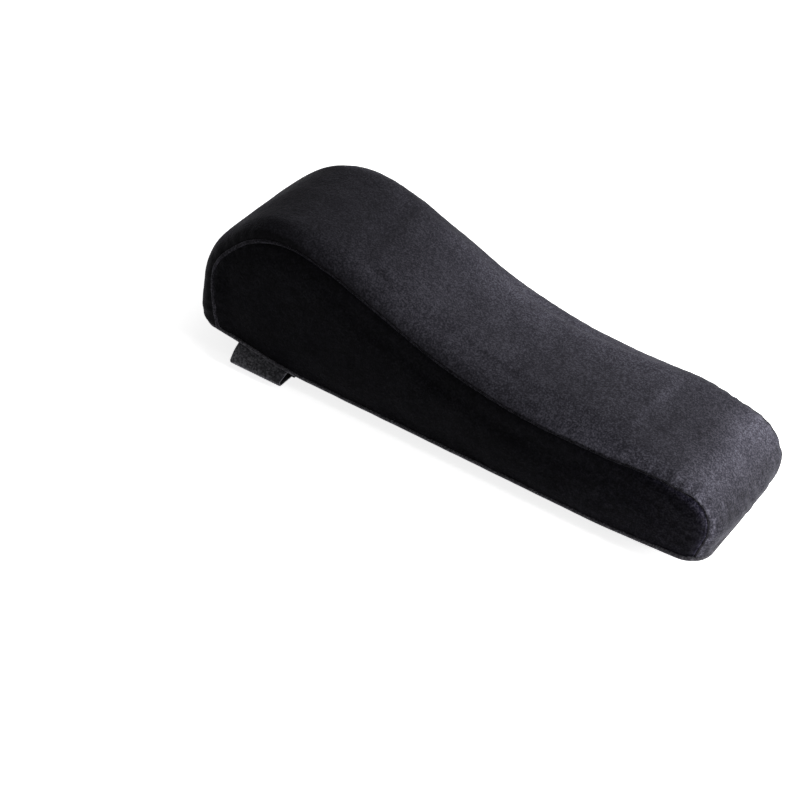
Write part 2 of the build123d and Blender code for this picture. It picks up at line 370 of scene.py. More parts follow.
def velour(name, dark, light, sheen, pile=1350.0, tuft=400.0, bump=1.0, turn=None, shade=None, wear_and_painted_light=False,
           deep=0.35, tint=(0.88, 0.86, 1.0, 1.0)):
    """Short-pile velour: fine pile grain, tufts lying in different directions, and broad brush marks.

    turn = (from, to, low, ragged) paints shade on the cloth where it turns away from the top, with a ragged edge,
    and sooner at the tall end, where it paints a band of shade. shade = (x0, x1, level) scales it from x0 to x1,
    in metres: painted light where level is above 1, painted shade where it is below. wear_and_painted_light adds
    the top's painted light and shade, and streaks on the nose face. deep is how dark the dark pile's lowest parts
    are.
    """
    m, nt, bsdf, coord = nodes_of(name)
    fine = noise_node(nt, coord, pile, 2.0, 0.6).outputs["Fac"]
    mid = noise_node(nt, coord, tuft, 4.0, 0.62).outputs["Fac"]
    broad = noise_node(nt, coord, 60.0, 3.0, 0.5).outputs["Fac"]
    mix = mixed(nt, (fine, 0.64), (mid, 0.22), (broad, 0.14))
    colour = ramp_node(nt, mix, [(0.38, tuple(c * deep for c in dark)), (0.48, dark), (0.60, light)])
    levels = []
    if turn:
        start, end, low, ragged = turn
        # Painted shade: the cloth is darkened where its surface turns away from the top, with a ragged edge.
        x, y, z = split_node(nt, coord.outputs["Object"])
        facing_x, facing_y, _ = split_node(nt, coord.outputs["Normal"])
        painted_side_shade = math_node(nt, "ADD", math_node(nt, "ABSOLUTE", facing_y),
                             product(nt, math_node(nt, "SUBTRACT", mid, 0.5), ragged))
        # A band of painted shade at the tall end: the darkening starts sooner there.
        painted_side_shade = math_node(nt, "ADD", painted_side_shade, range_node(nt, x, 0.42, 0.0, -0.108, -0.070))
        levels.append(range_node(nt, painted_side_shade, 1.0, low, start, end))
        # The top's painted light and shade, with streaks on the nose face.
        if wear_and_painted_light:
            levels += painted_light_and_streaks(nt, coord, (x, y, z), (facing_x, facing_y))
    if shade:
        x0, x1, level = shade
        x, _, _ = split_node(nt, coord.outputs["Object"])
        if turn:
            levels.append(range_node(nt, mid, 0.6, 1.5, 0.35, 0.65))
        levels.append(range_node(nt, x, 1.0, level, x0, x1))
    if levels:
        scaled = nt.nodes.new("ShaderNodeVectorMath")
        scaled.operation = "SCALE"
        nt.links.new(colour, scaled.inputs[0])
        nt.links.new(product(nt, *levels), scaled.inputs["Scale"])
        colour = scaled.outputs["Vector"]
    nt.links.new(colour, bsdf.inputs["Base Color"])
    nt.links.new(range_node(nt, mix, 0.98, 0.80), bsdf.inputs["Roughness"])
    normal = bump_node(nt, broad, 0.0012 * bump, 0.5)
    normal = bump_node(nt, mid, 0.0005 * bump, 0.6, normal)
    nt.links.new(bump_node(nt, fine, 0.0003 * bump, 0.8, normal), bsdf.inputs["Normal"])
    bsdf.inputs["Specular IOR Level"].default_value = 0.05
    bsdf.inputs["Sheen Weight"].default_value = sheen
    bsdf.inputs["Sheen Roughness"].default_value = 0.4
    bsdf.inputs["Sheen Tint"].default_value = tint
    return m


def woven(name, dark, light, pitch_x, pitch_y, sheen=0.15, depth=0.00025, rough=(0.7, 0.9)):
    """Flat weave: two crossed sets of threads, pitches in mm, with a little colour variation and lint."""
    m, nt, bsdf, coord = nodes_of(name)
    x, y, _ = split_node(nt, coord.outputs["Object"])
    across = math_node(nt, "SINE", product(nt, x, 2 * math.pi / (pitch_x * MM)))
    up = math_node(nt, "SINE", product(nt, y, 2 * math.pi / (pitch_y * MM)))
    weave = math_node(nt, "ADD", product(nt, across, up, 0.35), 0.5)
    lint = noise_node(nt, coord, 1300.0, 3.0, 0.6).outputs["Fac"]
    broad = noise_node(nt, coord, 60.0, 3.0, 0.5).outputs["Fac"]
    mix = mixed(nt, (weave, 0.45), (lint, 0.3), (broad, 0.25))
    nt.links.new(ramp_node(nt, mix, [(0.3, dark), (0.7, light)]), bsdf.inputs["Base Color"])
    nt.links.new(range_node(nt, mix, rough[1], rough[0]), bsdf.inputs["Roughness"])
    normal = bump_node(nt, weave, depth, 0.9)
    nt.links.new(bump_node(nt, lint, 0.0003, 0.6, normal), bsdf.inputs["Normal"])
    bsdf.inputs["Specular IOR Level"].default_value = 0.25
    bsdf.inputs["Sheen Weight"].default_value = sheen
    bsdf.inputs["Sheen Roughness"].default_value = 0.5
    return m


def moulded(name, dark, light, rough=(0.3, 0.5), grain=900.0, depth=0.00008, coat=0.0, edge=None):
    """Moulded plastic, rubber or enamelled metal: fine grain, scuffs, and paler edges from wear."""
    m, nt, bsdf, coord = nodes_of(name)
    fine = noise_node(nt, coord, grain, 4.0, 0.6).outputs["Fac"]
    scuff = noise_node(nt, coord, grain * 0.18, 5.0, 0.65, 0.4, (1.0, 3.0, 1.0)).outputs["Fac"]
    colour = ramp_node(nt, scuff, [(0.35, dark), (0.68, light)])
    if edge:
        pointed = nt.nodes.new("ShaderNodeNewGeometry").outputs["Pointiness"]
        wear_and_painted_light = math_node(nt, "MULTIPLY", range_node(nt, pointed, 0.0, 0.75, 0.52, 0.60), fine, True)
        mix = nt.nodes.new("ShaderNodeMix")
        mix.data_type = "RGBA"
        nt.links.new(wear_and_painted_light, mix.inputs[0])
        nt.links.new(colour, mix.inputs[6])
        mix.inputs[7].default_value = (*edge, 1.0)
        colour = mix.outputs[2]
    nt.links.new(colour, bsdf.inputs["Base Color"])
    nt.links.new(range_node(nt, scuff, rough[0], rough[1]), bsdf.inputs["Roughness"])
    nt.links.new(bump_node(nt, fine, depth, 0.7), bsdf.inputs["Normal"])
    bsdf.inputs["Metallic"].default_value = 0.0
    bsdf.inputs["Coat Weight"].default_value = coat
    return m


# The top and side panels are one cloth: the top is a lit copy carrying painted light and shade.
M_TOP = velour("velour_top_painted_light", (0.0110, 0.0106, 0.0138), (0.0255, 0.0247, 0.0308), 0.09,
               turn=(0.88, 1.03, 0.20, 0.42), wear_and_painted_light=True, deep=0.62)
# The side is a darker copy of the same cloth: painted shade, made lighter towards the low end with painted light.
M_SIDE_SHADED = velour("velour_side_painted_shade", (0.0058, 0.0053, 0.0102), (0.020, 0.0188, 0.0255), 0.03,
                turn=(0.45, 0.85, 0.10, 0.55), shade=(0.030, 0.120, 2.9), tint=(0.76, 0.72, 1.0, 1.0))
# The piping is darkened past the tall end with painted shade, so its lit line shows only there.
M_PIPING = velour("velour_piping", (0.009, 0.0085, 0.0105), (0.030, 0.0285, 0.036), 0.12, tuft=420.0,
                  shade=(-0.112, -0.080, 0.50))
# The hem binding is paler than the cover's cloth: a painted highlight along the hem.
M_BINDING = velour("velour_binding", (0.030, 0.0290, 0.033), (0.085, 0.083, 0.092), 0.30, tuft=500.0, deep=0.6)
M_BASE = woven("base_cloth", (0.007, 0.007, 0.0078), (0.022, 0.022, 0.024), 0.9, 0.9, 0.12)
M_TAPE = woven("zipper_tape_cloth", (0.008, 0.008, 0.009), (0.026, 0.026, 0.029), 1.1, 0.6, 0.1)
M_COIL = moulded("coil_nylon", (0.010, 0.010, 0.011), (0.024, 0.024, 0.026), (0.25, 0.45))
M_METAL = moulded("enamel_metal", (0.016, 0.016, 0.018), (0.034, 0.034, 0.037), (0.22, 0.42), 700.0, 0.00006,
                  0.4, (0.35, 0.34, 0.33))
M_RUBBER = moulded("grip_silicone", (0.010, 0.010, 0.011), (0.022, 0.022, 0.024), (0.35, 0.6), 1200.0, 0.00012)
M_ELASTIC = woven("elastic_webbing", (0.008, 0.008, 0.009), (0.030, 0.030, 0.033), 1.3, 0.7, 0.2, 0.0003)
M_LOOP = velour("loop_pile", (0.030, 0.030, 0.033), (0.085, 0.085, 0.092), 0.5, pile=1100.0, tuft=600.0)
M_LOOP_BACK = woven("loop_backing", (0.006, 0.006, 0.007), (0.018, 0.018, 0.020), 0.8, 0.5, 0.05, 0.00012,
                    (0.45, 0.6))
M_HOOK = moulded("hook_nylon", (0.010, 0.010, 0.011), (0.026, 0.026, 0.028), (0.3, 0.5))
M_THREAD = woven("thread", (0.012, 0.012, 0.013), (0.040, 0.040, 0.044), 0.5, 0.5, 0.3)
M_FOAM = velour("foam_cells", (0.42, 0.39, 0.32), (0.66, 0.62, 0.53), 0.1, pile=2200.0, tuft=700.0, bump=0.6)

# -------- the cover's outline
profile = rounded_line([(-FOOT_X, TALL_RISE)] + CROWN + [(FOOT_X, LOW_RISE)], CROWN_RADII)
PROFILE_LEN = lengths(profile)[-1]
fine_at = np.linspace(0, PROFILE_LEN, 1400)
fine_line = along(profile, fine_at)
fine_t = np.gradient(fine_line, axis=0)
fine_t /= np.linalg.norm(fine_t, axis=1)[:, None]
fine_n = np.column_stack([-fine_t[:, 1], fine_t[:, 0]])
base_line = rounded_line([(-2 * FOOT_X + FLAT_X, 2 * TALL_RISE), (-FLAT_X, 0), (FLAT_X, 0),
                          (2 * FOOT_X - FLAT_X, 2 * LOW_RISE)], [BASE_RADIUS, BASE_RADIUS])


def base_height(x):
    """Height of the base curve above its flat middle, at x."""
    return np.interp(x, base_line[:, 0], base_line[:, 1])


def profile_at(s, inset):
    """Point (x, z) at distance s along the outline, moved in by inset."""
    p = np.column_stack([np.interp(s, fine_at, fine_line[:, k]) for k in range(2)])
    n = np.column_stack([np.interp(s, fine_at, fine_n[:, k]) for k in range(2)])
    n /= np.linalg.norm(n, axis=1)[:, None]
    return p - n * np.reshape(inset, (-1, 1)), n


def ease(t):
    """Smooth step from 0 to 1."""
    t = np.clip(t, 0, 1)
    return t * t * (3 - 2 * t)


def seam_inset(xz):
    """How far in from the outline the seam sits at (x, z) points.

    It is further in on the tall end wall and nearer the rim at the hand end.
    """
    wall = ease((-110 - xz[:, 0]) / 12) * ease((42 - xz[:, 1]) / 26)
    nose = np.exp(-((xz[:, 0] - 117) / 12) ** 2 - ((xz[:, 1] - 33) / 12) ** 2)
    return SEAM_INSET + 2.2 * wall - 3.0 * ease((xz[:, 0] - 74) / 34) - 1.9 * nose


def down_to_base(point, end):
    """Slides a point along the end wall's direction until it is on the base curve."""
    t = fine_t[0] if end == 0 else fine_t[-1]
    p = np.array(point, float)
    for _ in range(12):
        gap = p[1] - float(base_height(p[0]))
        p = p - t * gap / t[1]
    return p


strip_s = np.r_[np.linspace(0, END_TALL, ROWS_END + 1),
                np.linspace(END_TALL, PROFILE_LEN - END_LOW, ROWS_TOP + 1)[1:],
                np.linspace(PROFILE_LEN - END_LOW, PROFILE_LEN, ROWS_END + 1)[1:]]
flat_y = np.linspace(WIDTH / 2 - EDGE_R, -(WIDTH / 2 - EDGE_R), FLAT_COLS + 1)[1:-1]
seam_turn = np.arcsin(1 - seam_inset(profile_at(strip_s, 0)[0]) / EDGE_R)[:, None]
turns = seam_turn + np.linspace(0, 1, FILLET_COLS + 1) * (math.pi / 2 - seam_turn)
half_q = EDGE_R * (1 - np.sin(turns))
half_y = WIDTH / 2 - EDGE_R + EDGE_R * np.cos(turns)
strip_q = np.hstack([half_q, np.zeros((len(strip_s), len(flat_y))), half_q[:, ::-1]])
strip_y = np.hstack([half_y, np.tile(flat_y, (len(strip_s), 1)), -half_y[:, ::-1]])
N_S, N_V = strip_q.shape

strip = np.zeros((N_S, N_V, 3))
for j in range(N_V):
    xz, normal = profile_at(strip_s, strip_q[:, j])
    xz[0] = down_to_base(xz[0], 0)
    xz[-1] = down_to_base(xz[-1], 1)
    crown = CROWN_PUFF * np.clip(1 - (strip_y[:, j] / 28.0) ** 2, 0, None)
    fade = np.clip(np.minimum(strip_s, PROFILE_LEN - strip_s) / 12.0, 0, 1)
    xz = xz + normal * (crown * fade)[:, None]
    strip[:, j] = np.column_stack([xz[:, 0], strip_y[:, j], xz[:, 1]])

seam_xz = strip[:, 0][:, [0, 2]]
wall_line = np.vstack([fine_line[0] - fine_t[0] * 20, fine_line, fine_line[-1] + fine_t[-1] * 20])


def wall_distance(points):
    """Distance of (x, z) points from the outer outline."""
    out = np.full(len(points), 1e9)
    step = wall_line[::2]
    for lo in range(0, len(points), 400):
        part = points[lo:lo + 400]
        a, b = step[:-1], step[1:]
        d = b - a
        t = np.clip(((part[:, None] - a) * d).sum(2) / (d ** 2).sum(1), 0, 1)
        q = a + t[..., None] * d
        out[lo:lo + 400] = np.linalg.norm(part[:, None] - q, axis=2).min(1)
    return out


def fill_edges(bottom, top, left, right):
    """A grid of points between four edges: bottom and top run one way, left and right the other."""
    n, m = len(bottom), len(left)
    a = np.linspace(0, 1, n)[:, None, None]
    b = np.linspace(0, 1, m)[None, :, None]
    edges = (1 - b) * bottom[:, None] + b * top[:, None] + (1 - a) * left[None] + a * right[None]
    corners = ((1 - a) * (1 - b) * bottom[0] + a * (1 - b) * bottom[-1]
               + (1 - a) * b * top[0] + a * b * top[-1])
    return edges - corners


# The seam's points: up the tall end wall, along the top, and up the low end wall.
up_tall, along_top, up_low = (slice(0, ROWS_END + 1), slice(ROWS_END, ROWS_END + ROWS_TOP + 1),
                              slice(None, ROWS_END + ROWS_TOP - 1, -1))
seam_left, seam_top, seam_right = seam_xz[up_tall], seam_xz[along_top], seam_xz[up_low]
bottom_x = np.linspace(seam_left[0, 0], seam_right[0, 0], ROWS_TOP + 1)
bottom = np.column_stack([bottom_x, base_height(bottom_x)])
side_xz = fill_edges(bottom, seam_top, seam_left, seam_right)
flat = side_xz.reshape(-1, 2)
inset = seam_inset(flat)
q = np.clip(wall_distance(flat), inset, EDGE_R)
side_y = WIDTH / 2 - EDGE_R + np.sqrt(EDGE_R ** 2 - (EDGE_R - q) ** 2)
room = np.minimum(np.clip(wall_distance(flat) - inset, 0, None), flat[:, 1] - base_height(flat[:, 0]))
side_y = side_y + SIDE_PUFF * (1 - np.exp(-np.clip(room, 0, None) / 9.0))
side_y = side_y.reshape(side_xz.shape[:2])
seam_y = strip_y[:, 0]
side_y[:, -1], side_y[0, :], side_y[-1, :] = seam_y[along_top], seam_y[up_tall], seam_y[up_low]
side = np.dstack([side_xz[..., 0], side_y, side_xz[..., 1]])

side_right = side * (1, -1, 1)
under = fill_edges(side[:, 0], side_right[:, 0], strip[0], strip[-1])
under[..., 2] = base_height(under[..., 0])


def weld(patches):
    """Joins grids that share edges. Returns each grid's point numbers, the points, the faces and their grids."""
    index, points, faces, owner, grids = {}, [], [], [], []
    for number, (grid, flip) in enumerate(patches):
        rows, cols = grid.shape[:2]
        ids = np.zeros((rows, cols), int)
        for i in range(rows):
            for j in range(cols):
                key = tuple(np.round(grid[i, j] * 200).astype(int))
                if key not in index:
                    index[key] = len(points)
                    points.append(grid[i, j])
                ids[i, j] = index[key]
        for i in range(rows - 1):
            for j in range(cols - 1):
                f = list(dict.fromkeys([ids[i, j], ids[i, j + 1], ids[i + 1, j + 1], ids[i + 1, j]]))
                if len(f) > 2:
                    faces.append(f[::-1] if flip else f)
                    owner.append(number)
        grids.append(ids)
    return grids, np.array(points), faces, owner


grids, points, faces, owner = weld([(strip, False), (side, False), (side_right, True), (under, True)])
ids_strip, ids_left, ids_right, ids_under = grids
points = points + (0, 0, BASE_Z)

cover = make_mesh("cover_work", points, faces)
cover.data.polygons.foreach_set("material_index", owner)
bm = bmesh.new()
bm.from_mesh(cover.data)
bmesh.ops.recalc_face_normals(bm, faces=bm.faces)
bm.to_mesh(cover.data)
bm.free()


def coords(me):
    """A mesh's points, in mm, as an array."""
    co = np.zeros(len(me.vertices) * 3)
    me.vertices.foreach_get("co", co)
    return co.reshape(-1, 3) / MM


def set_coords(me, co):
    """Puts a mesh's points at the given places, in mm."""
    me.vertices.foreach_set("co", (np.asarray(co) * MM).ravel())
    me.update()


def normals(me):
    """A mesh's vertex normals."""
    n = np.zeros(len(me.vertices) * 3)
    me.vertex_normals.foreach_get("vector", n)
    return n.reshape(-1, 3)


def noise_at(co, size, seed=0.0):
    """Smooth noise, about -1 to 1, at points in mm. size is that of its features, one or three numbers."""
    k = 1.0 / np.array(size, float)
    return np.array([noise.noise(Vector(p)) for p in co * k + seed])


def bell(x, width):
    """1 at 0, falling off smoothly on both sides."""
    return np.exp(-(x / width) ** 2)


def squared(co):
    """Moves points out at the tall end's foot, where the hem is pulled square round the foam's corners."""
    co = np.array(co, float)
    reach = np.clip((-co[:, 0] - (FOOT_X - EDGE_R)) / EDGE_R, 0, 1.2)
    side_reach = np.clip((np.abs(co[:, 1]) - (WIDTH / 2 - EDGE_R)) / EDGE_R, 0, 1.2)
    up = np.clip(co[:, 2] - BASE_Z - TALL_RISE, 0, None)
    push = 0.36 * reach * side_reach * bell(up, 15)
    co[:, 0] -= EDGE_R * reach * push
    co[:, 1] += np.sign(co[:, 1]) * EDGE_R * side_reach * push
    co[:, 2] += 1.5 * reach * bell(up, 8)
    return co


# -------- foam, a little smaller than the cover
foam_co = coords(cover.data) - normals(cover.data) * FOAM_GAP
track = bell(foam_co[:, 1], 5.5) * (np.abs(foam_co[:, 0]) < SLIT_X + 2) * (foam_co[:, 2] < BASE_Z + 8)
foam_co[:, 2] += 3.4 * np.clip(track * 1.6, 0, 1)
foam_co += normals(cover.data) * (0.25 * noise_at(foam_co, 4.0, 3.0))[:, None]
foam = make_mesh("foam_block", foam_co, [list(p.vertices) for p in cover.data.polygons], M_FOAM)
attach(foam, "pad")
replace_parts(foam, "foam_core")


# -------- the cover: inflated as cloth, then sewn
def settle(ob, pinned, loose, cap, frames=20):
    """Runs the closed cover as pressurised cloth. Pinned points stay; loose ones have spare cloth that folds.

    The movement is taken about its median, evened out between neighbours and kept within cap, in mm.
    """
    rest = coords(ob.data)
    group = ob.vertex_groups.new(name="pinned")
    group.add([int(i) for i in np.where(pinned)[0]], 1.0, "REPLACE")
    spare = ob.vertex_groups.new(name="spare")
    for i, w in enumerate(loose):
        spare.add([i], float(w), "REPLACE")
    mod = ob.modifiers.new("cloth", "CLOTH")
    st = mod.settings
    st.quality = 7
    st.mass = 0.2
    st.tension_stiffness = st.compression_stiffness = 14
    st.shear_stiffness = 7
    st.bending_stiffness = 0.03
    st.use_pressure = True
    st.uniform_pressure_force = 4
    st.effector_weights.gravity = 0
    st.vertex_group_mass = "pinned"
    st.vertex_group_shrink = "spare"
    st.shrink_min = -0.02
    st.shrink_max = -0.14
    mod.point_cache.frame_start, mod.point_cache.frame_end = 1, frames
    for f in range(1, frames + 1):
        bpy.context.scene.frame_set(f)
    moved = coords(ob.evaluated_get(bpy.context.evaluated_depsgraph_get()).data) - rest
    ob.modifiers.remove(mod)
    bpy.context.scene.frame_set(1)
    n = normals(ob.data)
    out = (moved * n).sum(1)
    slip = moved - n * out[:, None]
    free = ~pinned
    ends = np.array([e.vertices for e in ob.data.edges])
    count = np.bincount(ends.ravel(), minlength=len(out))
    for _ in range(12):
        total = (np.bincount(ends[:, 0], out[ends[:, 1]], len(out))
                 + np.bincount(ends[:, 1], out[ends[:, 0]], len(out)))
        out = 0.5 * out + 0.5 * total / count
    out = np.where(free, out - np.median(out[free]), 0)
    out = (0.45 + 0.55 * ease(0.5 + out / 1.2)) * cap * np.tanh(out / cap)
    far = np.linalg.norm(slip, axis=1) + 1e-9
    set_coords(ob.data, rest + n * out[:, None] + slip * (0.5 * cap * np.tanh(far / cap) / far)[:, None])


flat_co = coords(cover.data)
pinned = np.zeros(len(flat_co), bool)
pinned[ids_under.ravel()] = True
above = flat_co[:, 2] - BASE_Z - base_height(flat_co[:, 0])
loose = 0.9 * bell(np.clip(flat_co[:, 0] - 118, -60, 0), 26) * bell(np.clip(above - 12, 0, None), 16)
loose += 0.4 * bell(above, 9)
settle(cover, pinned, np.clip(loose, 0, 1), 1.2)
cover.data.polygons.foreach_set("use_smooth", [True] * len(cover.data.polygons))

sub = cover.modifiers.new("sub", "SUBSURF")
sub.levels = sub.render_levels = 1
fine_cover = bpy.data.meshes.new_from_object(cover.evaluated_get(bpy.context.evaluated_depsgraph_get()))
cover.modifiers.remove(sub)
co, nrm = coords(fine_cover), normals(fine_cover)

# How far each point is from the nearest seam, and how far along that seam.
seam_ids = {"left": ids_strip[:, 0], "right": ids_strip[:, -1]}
seam_lines = [along(co[v], np.linspace(0, lengths(co[v])[-1], SEAM_POINTS)) for v in seam_ids.values()]
seam_run = np.r_[lengths(seam_lines[0]), lengths(seam_lines[1]) + 1000.0]
tree = kdtree.KDTree(2 * SEAM_POINTS)
for i, p in enumerate(np.vstack(seam_lines)):
    tree.insert(Vector(p), i)
tree.balance()
nearest = [tree.find(Vector(p)) for p in co]
seam_d = np.array([n[2] for n in nearest])
seam_s = np.array([seam_run[n[1]] for n in nearest])

# The pull of the seams, ripples beside them, soft unevenness, folds that hang down the walls, and full corners.
above = co[:, 2] - BASE_Z - base_height(co[:, 0])
x, y = co[:, 0], co[:, 1]
low_end = bell(np.clip(108 - x, 0, None), 20)
tall_end = bell(np.clip(x + 112, 0, None), 16)
ripple = np.sin(seam_s / 5.6 * 2 * math.pi + 2.2 * noise_at(np.column_stack([seam_s, 0 * x, 0 * x]), 14.0))
amount = (0.07 + 0.16 * low_end + 0.05 * tall_end) * (1 + 0.8 * noise_at(co, 11.0, 3.0))
tight = 0.24 + 0.76 * ease((-62 - x) / 40)
h = -0.75 * tight * bell(seam_d, 1.5) + 0.12 * bell(seam_d - 4.6, 2.6)
h += amount * ripple * bell(seam_d - 2.5, 3.4)
h += 0.26 * noise_at(co, 27.0, 5.0) + 0.17 * noise_at(co, 9.0, 11.0) + 0.05 * noise_at(co, 2.6, 17.0)
wall_turn = np.arctan2(y, np.abs(x) - 108) * 17 + np.clip(108 - np.abs(x), 0, None)
hang = np.column_stack([wall_turn, 0 * x, co[:, 2]])
h += 1.0 * low_end * bell(above - 9, 12) * noise_at(hang, (3.6, 1.0, 17.0), 23.0)
h += 0.38 * bell(above - 2, 6) * noise_at(hang, (6.5, 1.0, 26.0), 31.0)
h += 1.3 * bell(x - 113, 10) * bell(np.abs(y) - 33, 8) * ease((above - 16) / 10)
bulge = 2.6 * (1 + 0.3 * noise_at(hang, (7.0, 1.0, 30.0), 37.0))
h += bulge * bell(np.clip(x + 117, 0, None), 7) * bell(above - 16, 17)
co = squared(co + nrm * (h * np.clip(above / 2.5, 0, 1))[:, None])
set_coords(fine_cover, co)


def patch(number, name, material):
    """One panel of the cover, cut from the sewn form, with the cloth's thickness inwards."""
    me = fine_cover.copy()
    me.name = name
    b = bmesh.new()
    b.from_mesh(me)
    bmesh.ops.delete(b, geom=[f for f in b.faces if f.material_index != number], context="FACES")
    for f in b.faces:
        f.material_index = 0
        f.smooth = True
    b.to_mesh(me)
    b.free()
    ob = bpy.data.objects.new(name, me)
    bpy.context.scene.collection.objects.link(ob)
    me.materials.clear()
    me.materials.append(material)
    thicken(ob, CLOTH_THICK)
    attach(ob, "pad")
    return ob


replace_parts(patch(0, "cover_top", M_TOP), "top_panel")
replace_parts(patch(1, "cover_side_left", M_SIDE_SHADED), "left_side_panel")
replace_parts(patch(2, "cover_side_right", M_SIDE_SHADED), "right_side_panel")


def resampled(rows, n):
    """n rows spread evenly over the given rows."""
    at, given = np.linspace(0, 1, n), np.linspace(0, 1, len(rows))
    return np.column_stack([np.interp(at, given, rows[:, k]) for k in range(rows.shape[1])])


# -------- piping along both seams
cover_normals = normals(fine_cover)
for side_name, ids in seam_ids.items():
    up_at, path = resampled(cover_normals[ids], PIPING_POINTS), resampled(co[ids], PIPING_POINTS)
    bead = (0.32 + 0.68 * ease((-72 - path[:, 0]) / 34)) * (1 + 0.10 * noise_at(path, 5.0, 41.0))
    wander = 0.5 * ease((path[:, 0] - 85) / 20) * noise_at(path, 4.5, 83.0)
    path = path + up_at * 0.12 + np.cross(up_at, np.gradient(path, axis=0)) * wander[:, None]
    path[[0, -1], 2] += 1.2
    section = [[(a * k, b * k) for a, b in oval(*PIPING_HALF, 8)] for k in bead]
    verts, fcs = sweep(path, section, up_at)
    ob = make_mesh("piping_" + side_name, verts, fcs, M_PIPING)
    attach(ob, "pad")
    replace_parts(ob, side_name + "_piping")

bpy.data.objects.remove(cover)

# -------- binding round the bottom edge
hem = np.vstack([co[ids_left[:, 0]], co[ids_strip[-1, :]], co[ids_right[::-1, 0]], co[ids_strip[0, ::-1]]])
hem = np.array([p for i, p in enumerate(hem) if np.linalg.norm(p - hem[i - 1]) > 0.05])
loop = np.vstack([hem, hem[:1]])
loop = along(loop, np.linspace(0, lengths(loop)[-1], HEM_POINTS, endpoint=False))
loop = 0.5 * loop + 0.25 * (np.roll(loop, 1, 0) + np.roll(loop, -1, 0))
out_dir = np.roll(loop, -1, 0) - np.roll(loop, 1, 0)
out_dir = np.column_stack([-out_dir[:, 1], out_dir[:, 0], 0 * out_dir[:, 0]])
out_dir /= np.linalg.norm(out_dir, axis=1)[:, None]
if (out_dir * (loop * (1, 1, 0))).sum() < 0:
    out_dir = -out_dir
wave = 0.12 * noise_at(loop, 7.0, 51.0)
roll_line = loop + out_dir * (0.15 + wave)[:, None] + (0, 0, 0.85)
verts, fcs = sweep(roll_line, oval(*BINDING_HALF), np.tile((0, 0, 1.0), (HEM_POINTS, 1)), closed=True)
binding = make_mesh("hem_binding", verts, fcs, M_BINDING)
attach(binding, "pad")
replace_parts(binding, "base_binding")


# -------- small repeated shapes
DOWN = (0, 0, -1)


def thread_run(path, pitch=STITCH_PITCH, length=STITCH_LEN, radius=STITCH_R):
    """Stitches along a path on the underside: short threads that dip into the cloth at both ends."""
    path, lift = np.array(path, float), np.array(DOWN, float)
    run = lengths(path)
    verts, fcs = [], []
    for s0 in np.arange(pitch / 2, run[-1] - pitch / 2, pitch):
        p = along(path, np.array([s0 - length / 2, s0 + length / 2]))
        t = (p[1] - p[0]) / np.linalg.norm(p[1] - p[0])
        across = np.cross(t, lift)
        first = len(verts)
        for f in (-1.0, -0.55, 0.0, 0.55, 1.0):
            centre = (p[0] + p[1]) / 2 + t * f * length / 2 + lift * (0.22 - 0.5 * f * f) * radius * 2
            for k in range(6):
                a = 2 * math.pi * k / 6
                r = radius * (1 - 0.25 * abs(f))
                verts.append(centre + across * r * math.cos(a) + lift * r * math.sin(a))
        fcs += grid_faces(5, 6, first, wrap_cols=True)
        fcs += [tuple(first + k for k in range(5, -1, -1)), tuple(first + 24 + k for k in range(6))]
    return verts, fcs


def joined(name, parts, material):
    """One mesh from several (verts, faces) parts."""
    verts, fcs = [], []
    for v, f in parts:
        fcs += [tuple(i + len(verts) for i in face) for face in f]
        verts += [tuple(p) for p in v]
    return make_mesh(name, verts, fcs, material)


# -------- base panels, parted round the zipper
def edge_y(px):
    """Half width of the base at x."""
    q = np.clip(FOOT_X - np.abs(px), 0, EDGE_R)
    return WIDTH / 2 - EDGE_R + np.sqrt(np.clip(EDGE_R ** 2 - (EDGE_R - q) ** 2, 0, None))


xs = np.r_[np.linspace(-FOOT_X, -SLIT_X - 1.2, 34), np.linspace(-SLIT_X - 0.8, -SLIT_X + 0.8, 5),
           np.linspace(-SLIT_X + 2, SLIT_X - 2, 74), np.linspace(SLIT_X - 0.8, SLIT_X + 0.8, 5),
           np.linspace(SLIT_X + 1.2, FOOT_X, 34)]
slit = np.clip((SLIT_X + 0.9 - np.abs(xs)) / 1.8, 0, 1)
inner_y = 0.12 + (SLIT_Y - 0.12) * np.sqrt(slit)
for side_name, sgn in (("left", 1), ("right", -1)):
    v = np.linspace(0, 1, BASE_COLS)
    gy = inner_y[:, None] + (edge_y(xs) - 0.3 - inner_y)[:, None] * v[None, :]
    gx = np.repeat(xs[:, None], BASE_COLS, 1)
    gz = BASE_Z + base_height(gx)
    flat_pts = np.column_stack([gx.ravel(), sgn * gy.ravel(), gz.ravel()])
    rim = edge_y(flat_pts[:, 0]) - np.abs(flat_pts[:, 1])
    lip = np.abs(flat_pts[:, 1]) - np.repeat(inner_y, BASE_COLS)
    bumps = 0.20 * noise_at(flat_pts, 22.0, 61.0) + 0.07 * noise_at(flat_pts, 6.0, 67.0)
    bumps += 0.18 * bell(rim - 3, 3) * noise_at(flat_pts, 5.0, 71.0)
    bumps += 0.30 * bell(lip, 0.8) + 0.25 * bell(rim, 1.2)
    bumps -= 0.22 * bell(lip - 1.6, 0.6) * (np.repeat(slit, BASE_COLS) > 0.9)
    flat_pts[:, 2] += np.where(bumps > 0, 1.0, 0.35) * bumps
    ob = make_mesh("base_" + side_name, squared(flat_pts), grid_faces(len(xs), BASE_COLS), M_BASE)
    b = bmesh.new()
    b.from_mesh(ob.data)
    for f in b.faces:
        if f.normal.z > 0:
            f.normal_flip()
    b.to_mesh(ob.data)
    b.free()
    thicken(ob, CLOTH_THICK)
    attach(ob, "pad")
    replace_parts(ob, side_name + "_base_panel")



def level_line(x0, x1, y, n):
    """n points from x0 to x1 at y, on the flat of the base."""
    return np.column_stack([np.linspace(x0, x1, n), np.full(n, y), np.full(n, BASE_Z)])


